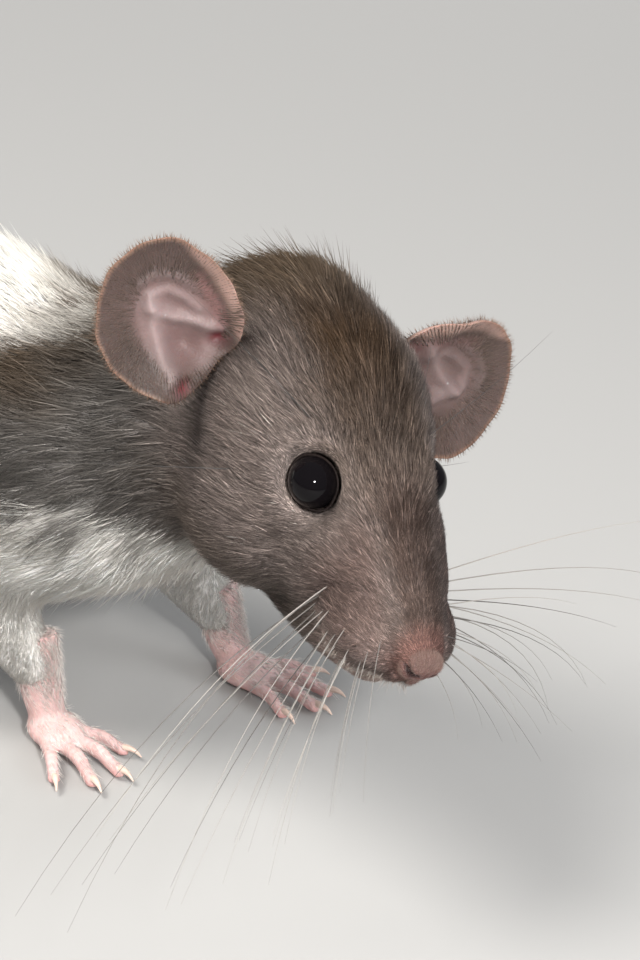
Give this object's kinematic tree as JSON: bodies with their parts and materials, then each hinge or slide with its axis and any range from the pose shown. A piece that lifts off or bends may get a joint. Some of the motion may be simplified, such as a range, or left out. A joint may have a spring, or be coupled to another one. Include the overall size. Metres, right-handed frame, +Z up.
{
  "type": "dumbo rat model",
  "caption": "Life-size still model of a hooded dumbo rat on all fours, its head turned to one side, with low round ears, long whiskers and a long tail along the floor.",
  "frame": {"origin": "middle of the model's bounding box, on the floor it stands on", "axes": "+X runs from the tail to the head, +Y to the animal's left side, +Z up"},
  "size_m": [0.3244, 0.0906, 0.0706],
  "materials": {
    "head": "short taupe fur",
    "jaw": "short pale grey fur",
    "nose": "bare pink skin, slightly damp",
    "ear_right": "thin bare skin with fine fuzz",
    "ear_left": "thin bare skin with fine fuzz",
    "eye_right": "glossy black",
    "eye_left": "glossy black",
    "whisker_pad_right": "short fur with long whiskers",
    "whisker_pad_left": "short fur with long whiskers",
    "neck": "short taupe fur",
    "chest": "taupe fur above, white below",
    "belly": "white fur",
    "rump": "white fur",
    "fore_leg_right": "white fur",
    "fore_leg_left": "white fur",
    "hind_leg_right": "white fur",
    "hind_leg_left": "white fur",
    "fore_paw_right": "pink skin, fine pale hair",
    "fore_paw_left": "pink skin, fine pale hair",
    "hind_paw_right": "pink skin, fine pale hair",
    "hind_paw_left": "pink skin, fine pale hair",
    "tail_1": "ringed scaly skin",
    "tail_2": "ringed scaly skin",
    "tail_3": "ringed scaly skin",
    "tail_4": "ringed scaly skin"
  },
  "bodies": {
    "root": {"head": "head", "jaw": "jaw", "nose": "nose", "ear_right": "ear_right", "ear_left": "ear_left", "eye_right": "eye_right", "eye_left": "eye_left", "whisker_pad_right": "whisker_pad_right", "whisker_pad_left": "whisker_pad_left", "neck": "neck", "chest": "chest", "belly": "belly", "rump": "rump", "fore_leg_right": "fore_leg_right", "fore_leg_left": "fore_leg_left", "hind_leg_right": "hind_leg_right", "hind_leg_left": "hind_leg_left", "fore_paw_right": "fore_paw_right", "fore_paw_left": "fore_paw_left", "hind_paw_right": "hind_paw_right", "hind_paw_left": "hind_paw_left", "tail_1": "tail_1", "tail_2": "tail_2", "tail_3": "tail_3", "tail_4": "tail_4"}
  },
  "joints": []
}
